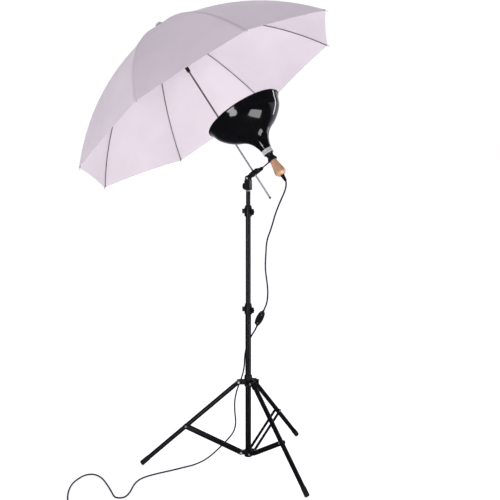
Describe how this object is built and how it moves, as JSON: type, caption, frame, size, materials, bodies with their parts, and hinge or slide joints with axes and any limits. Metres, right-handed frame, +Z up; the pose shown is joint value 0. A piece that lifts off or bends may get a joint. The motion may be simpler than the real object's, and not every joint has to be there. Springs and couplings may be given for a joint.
{
  "type": "umbrella studio light",
  "caption": "Photoflood lamp with a black bowl reflector and a wooden handle, on a folding light stand, shining through a white umbrella held in the same tilting bracket.",
  "frame": {"origin": "on the floor, on the axis of the stand's column", "axes": "+Z up the column; +X to the right and +Y away, seen from where the umbrella opens to the left"},
  "size_m": [1.1194, 1.3416, 2.0076],
  "materials": {
    "black_tube": "satin black enamel on steel tube",
    "black_plastic": "moulded black plastic",
    "pin_steel": "plated steel",
    "rubber": "matt rubber",
    "bright_steel": "bright plated steel",
    "bracket_metal": "dark grey cast metal",
    "bowl_paint": "gloss black outside, white inside",
    "socket_black": "black bakelite and moulded plastic",
    "bulb_glass": "frosted photoflood bulb",
    "handle_wood": "varnished turned wood",
    "cord_rubber": "black rubber lead",
    "umbrella_steel": "dark grey steel",
    "canopy_cloth": "translucent white nylon"
  },
  "bodies": {
    "stand": {"base_tube": "black_tube", "brace_collar": "black_plastic", "brace_pins": "pin_steel", "lower_lock_collar": "black_plastic", "lamp_cord": "cord_rubber", "mains_cord": "cord_rubber", "switch_body": "socket_black", "cord_coil": "cord_rubber", "plug": "socket_black"},
    "spreader": {"spreader_collar": "black_plastic", "spreader_pins": "pin_steel"},
    "spreader_knob": {"spreader_knob": "black_plastic"},
    "lower_lock_knob": {"lower_lock_knob": "black_plastic"},
    "middle": {"middle_tube": "black_tube", "upper_lock_collar": "black_plastic"},
    "upper_lock_knob": {"upper_lock_knob": "black_plastic"},
    "top": {"top_tube": "black_tube", "spigot": "bright_steel"},
    "bracket_base": {"bracket_base": "bracket_metal"},
    "bracket_base_knob": {"bracket_base_knob": "black_plastic"},
    "head": {"bracket_head": "bracket_metal"},
    "tilt_knob": {"tilt_knob": "bracket_metal"},
    "umbrella_knob": {"umbrella_knob": "bracket_metal"},
    "lamp": {"lamp_stem": "bright_steel", "reflector": "bowl_paint", "neck_ring": "bright_steel", "socket_body": "socket_black", "bulb": "bulb_glass", "handle": "handle_wood", "strain_relief": "socket_black"},
    "umbrella": {"umbrella_shaft": "umbrella_steel", "crown": "umbrella_steel", "canopy": "canopy_cloth"},
    "runner": {"runner": "umbrella_steel"},
    "switch_rocker": {"switch_rocker": "socket_black"},
    "leg_1": {"leg_tube_1": "black_tube", "foot_1": "rubber"},
    "brace_1": {"brace_1": "black_tube"},
    "leg_2": {"leg_tube_2": "black_tube", "foot_2": "rubber"},
    "brace_2": {"brace_2": "black_tube"},
    "leg_3": {"leg_tube_3": "black_tube", "foot_3": "rubber"},
    "brace_3": {"brace_3": "black_tube"},
    "rib_1": {"rib_1": "umbrella_steel"},
    "stretcher_1": {"stretcher_1": "umbrella_steel"},
    "rib_2": {"rib_2": "umbrella_steel"},
    "stretcher_2": {"stretcher_2": "umbrella_steel"},
    "rib_3": {"rib_3": "umbrella_steel"},
    "stretcher_3": {"stretcher_3": "umbrella_steel"},
    "rib_4": {"rib_4": "umbrella_steel"},
    "stretcher_4": {"stretcher_4": "umbrella_steel"},
    "rib_5": {"rib_5": "umbrella_steel"},
    "stretcher_5": {"stretcher_5": "umbrella_steel"},
    "rib_6": {"rib_6": "umbrella_steel"},
    "stretcher_6": {"stretcher_6": "umbrella_steel"},
    "rib_7": {"rib_7": "umbrella_steel"},
    "stretcher_7": {"stretcher_7": "umbrella_steel"},
    "rib_8": {"rib_8": "umbrella_steel"},
    "stretcher_8": {"stretcher_8": "umbrella_steel"}
  },
  "joints": [
    {"name": "spreader_slide", "type": "slide", "parent": "stand", "child": "spreader", "axis": [0, 0, 1], "range_m": [0, 0.2566]},
    {"name": "leg_1_fold", "type": "hinge", "parent": "spreader", "child": "leg_1", "pos_m": [-0.042, -0.00051, 0.376], "axis": [0.0122, -0.9999, 0], "range_deg": [0, 49.36]},
    {"name": "brace_1_fold", "type": "hinge", "parent": "stand", "child": "brace_1", "pos_m": [-0.032, -0.00039, 0.057], "axis": [0.0122, -0.9999, 0], "range_deg": [-61.65, 0]},
    {"name": "leg_2_fold", "type": "hinge", "parent": "spreader", "child": "leg_2", "pos_m": [0.02144, -0.03611, 0.376], "axis": [0.8599, 0.5105, 0], "range_deg": [0, 49.36]},
    {"name": "brace_2_fold", "type": "hinge", "parent": "stand", "child": "brace_2", "pos_m": [0.01634, -0.02752, 0.057], "axis": [0.8599, 0.5105, 0], "range_deg": [-61.65, 0]},
    {"name": "leg_3_fold", "type": "hinge", "parent": "spreader", "child": "leg_3", "pos_m": [0.02055, 0.03663, 0.376], "axis": [-0.8721, 0.4894, 0], "range_deg": [0, 49.36]},
    {"name": "brace_3_fold", "type": "hinge", "parent": "stand", "child": "brace_3", "pos_m": [0.01566, 0.02791, 0.057], "axis": [-0.8721, 0.4894, 0], "range_deg": [-61.65, 0]},
    {"name": "spreader_knob_turn", "type": "hinge", "parent": "spreader", "child": "spreader_knob", "pos_m": [0, 0, 0.378], "axis": [0.9999, 0.0122, 0], "range_deg": [0, 360]},
    {"name": "lower_lock_knob_turn", "type": "hinge", "parent": "stand", "child": "lower_lock_knob", "pos_m": [0, 0, 0.698], "axis": [0.6691, -0.7431, 0], "range_deg": [0, 360]},
    {"name": "middle_slide", "type": "slide", "parent": "stand", "child": "middle", "axis": [0, 0, 1], "range_m": [-0.37, 0.15], "deforming": ["mains_cord"]},
    {"name": "upper_lock_knob_turn", "type": "hinge", "parent": "middle", "child": "upper_lock_knob", "pos_m": [0, 0, 1.124], "axis": [0.6691, -0.7431, 0], "range_deg": [0, 360]},
    {"name": "top_slide", "type": "slide", "parent": "middle", "child": "top", "axis": [0, 0, 1], "range_m": [-0.055, 0.42]},
    {"name": "bracket_swivel", "type": "hinge", "parent": "top", "child": "bracket_base", "pos_m": [0, 0, 1.23], "axis": [0, 0, 1], "range_deg": [-90, 90]},
    {"name": "bracket_base_knob_turn", "type": "hinge", "parent": "bracket_base", "child": "bracket_base_knob", "pos_m": [0, 0, 1.232], "axis": [-0.9001, 0.4357, 0], "range_deg": [0, 360]},
    {"name": "head_tilt", "type": "hinge", "parent": "bracket_base", "child": "head", "pos_m": [0, 0, 1.2682], "axis": [0.4357, 0.9001, 0], "range_deg": [-45, 35], "deforming": ["lamp_cord"]},
    {"name": "tilt_knob_turn", "type": "hinge", "parent": "bracket_base", "child": "tilt_knob", "pos_m": [0, 0, 1.2682], "axis": [0.4357, 0.9001, 0], "range_deg": [0, 360]},
    {"name": "umbrella_knob_turn", "type": "hinge", "parent": "head", "child": "umbrella_knob", "pos_m": [0.0255, -0.01235, 1.28892], "axis": [-0.4357, -0.9001, 0], "range_deg": [0, 360]},
    {"name": "lamp_swivel", "type": "hinge", "parent": "head", "child": "lamp", "pos_m": [0.05299, -0.02565, 1.30628], "axis": [0.2656, -0.9153, 0.3028], "range_deg": [-15, 30]},
    {"name": "umbrella_slide", "type": "slide", "parent": "head", "child": "umbrella", "axis": [-0.5312, 0.2571, 0.8073], "range_m": [-0.08, 0.08]},
    {"name": "runner_slide", "type": "slide", "parent": "umbrella", "child": "runner", "axis": [0.5312, -0.2571, -0.8073], "range_m": [0, 0.1195], "deforming": ["canopy"]},
    {"name": "rib_1_fold", "type": "hinge", "parent": "umbrella", "child": "rib_1", "pos_m": [-0.37495, 0.182, 1.91299], "axis": [0.399, 0.9165, -0.0293], "range_deg": [0, 22.05]},
    {"name": "stretcher_1_fold", "type": "hinge", "parent": "runner", "child": "stretcher_1", "pos_m": [-0.27315, 0.13294, 1.7652], "axis": [0.399, 0.9165, -0.0293], "range_deg": [-16.61, 0]},
    {"name": "rib_2_fold", "type": "hinge", "parent": "umbrella", "child": "rib_2", "pos_m": [-0.37438, 0.18864, 1.91125], "axis": [-0.2463, 0.8648, -0.4376], "range_deg": [0, 22.05]},
    {"name": "stretcher_2_fold", "type": "hinge", "parent": "runner", "child": "stretcher_2", "pos_m": [-0.27233, 0.14253, 1.76268], "axis": [-0.2463, 0.8648, -0.4376], "range_deg": [-16.61, 0]},
    {"name": "rib_3_fold", "type": "hinge", "parent": "umbrella", "child": "rib_3", "pos_m": [-0.37808, 0.193, 1.90742], "axis": [-0.7474, 0.3065, -0.5895], "range_deg": [0, 22.05]},
    {"name": "stretcher_3_fold", "type": "hinge", "parent": "runner", "child": "stretcher_3", "pos_m": [-0.27768, 0.14884, 1.75715], "axis": [-0.7474, 0.3065, -0.5895], "range_deg": [-16.61, 0]},
    {"name": "rib_4_fold", "type": "hinge", "parent": "umbrella", "child": "rib_4", "pos_m": [-0.38389, 0.19254, 1.90375], "axis": [-0.8106, -0.4313, -0.3961], "range_deg": [0, 22.05]},
    {"name": "stretcher_4_fold", "type": "hinge", "parent": "runner", "child": "stretcher_4", "pos_m": [-0.28607, 0.14817, 1.75185], "axis": [-0.8106, -0.4313, -0.3961], "range_deg": [-16.61, 0]},
    {"name": "rib_5_fold", "type": "hinge", "parent": "umbrella", "child": "rib_5", "pos_m": [-0.3884, 0.18751, 1.90238], "axis": [-0.399, -0.9165, 0.0293], "range_deg": [0, 22.05]},
    {"name": "stretcher_5_fold", "type": "hinge", "parent": "runner", "child": "stretcher_5", "pos_m": [-0.29258, 0.14091, 1.74987], "axis": [-0.399, -0.9165, 0.0293], "range_deg": [-16.61, 0]},
    {"name": "rib_6_fold", "type": "hinge", "parent": "umbrella", "child": "rib_6", "pos_m": [-0.38897, 0.18087, 1.90412], "axis": [0.2463, -0.8648, 0.4376], "range_deg": [0, 22.05]},
    {"name": "stretcher_6_fold", "type": "hinge", "parent": "runner", "child": "stretcher_6", "pos_m": [-0.29341, 0.13132, 1.75239], "axis": [0.2463, -0.8648, 0.4376], "range_deg": [-16.61, 0]},
    {"name": "rib_7_fold", "type": "hinge", "parent": "umbrella", "child": "rib_7", "pos_m": [-0.38527, 0.17651, 1.90795], "axis": [0.7474, -0.3065, 0.5895], "range_deg": [0, 22.05]},
    {"name": "stretcher_7_fold", "type": "hinge", "parent": "runner", "child": "stretcher_7", "pos_m": [-0.28806, 0.12501, 1.75792], "axis": [0.7474, -0.3065, 0.5895], "range_deg": [-16.61, 0]},
    {"name": "rib_8_fold", "type": "hinge", "parent": "umbrella", "child": "rib_8", "pos_m": [-0.37946, 0.17697, 1.91162], "axis": [0.8106, 0.4313, 0.3961], "range_deg": [0, 22.05]},
    {"name": "stretcher_8_fold", "type": "hinge", "parent": "runner", "child": "stretcher_8", "pos_m": [-0.27967, 0.12568, 1.76322], "axis": [0.8106, 0.4313, 0.3961], "range_deg": [-16.61, 0]},
    {"name": "switch_rocker_tip", "type": "hinge", "parent": "stand", "child": "switch_rocker", "pos_m": [0.05125, -0.04113, 0.66455], "axis": [0.9337, 0, -0.3581], "range_deg": [-8, 8]}
  ],
  "couplings": [
    {"joint": "leg_1_fold", "follows": "spreader_slide", "rad_per_m": 3.3539},
    {"joint": "brace_1_fold", "follows": "spreader_slide", "rad_per_m": -4.1897},
    {"joint": "leg_2_fold", "follows": "spreader_slide", "rad_per_m": 3.3539},
    {"joint": "brace_2_fold", "follows": "spreader_slide", "rad_per_m": -4.1897},
    {"joint": "leg_3_fold", "follows": "spreader_slide", "rad_per_m": 3.3539},
    {"joint": "brace_3_fold", "follows": "spreader_slide", "rad_per_m": -4.1897},
    {"joint": "rib_1_fold", "follows": "runner_slide", "rad_per_m": 3.2132},
    {"joint": "stretcher_1_fold", "follows": "runner_slide", "rad_per_m": -2.4184},
    {"joint": "rib_2_fold", "follows": "runner_slide", "rad_per_m": 3.2132},
    {"joint": "stretcher_2_fold", "follows": "runner_slide", "rad_per_m": -2.4184},
    {"joint": "rib_3_fold", "follows": "runner_slide", "rad_per_m": 3.2132},
    {"joint": "stretcher_3_fold", "follows": "runner_slide", "rad_per_m": -2.4184},
    {"joint": "rib_4_fold", "follows": "runner_slide", "rad_per_m": 3.2132},
    {"joint": "stretcher_4_fold", "follows": "runner_slide", "rad_per_m": -2.4184},
    {"joint": "rib_5_fold", "follows": "runner_slide", "rad_per_m": 3.2132},
    {"joint": "stretcher_5_fold", "follows": "runner_slide", "rad_per_m": -2.4184},
    {"joint": "rib_6_fold", "follows": "runner_slide", "rad_per_m": 3.2132},
    {"joint": "stretcher_6_fold", "follows": "runner_slide", "rad_per_m": -2.4184},
    {"joint": "rib_7_fold", "follows": "runner_slide", "rad_per_m": 3.2132},
    {"joint": "stretcher_7_fold", "follows": "runner_slide", "rad_per_m": -2.4184},
    {"joint": "rib_8_fold", "follows": "runner_slide", "rad_per_m": 3.2132},
    {"joint": "stretcher_8_fold", "follows": "runner_slide", "rad_per_m": -2.4184}
  ]
}
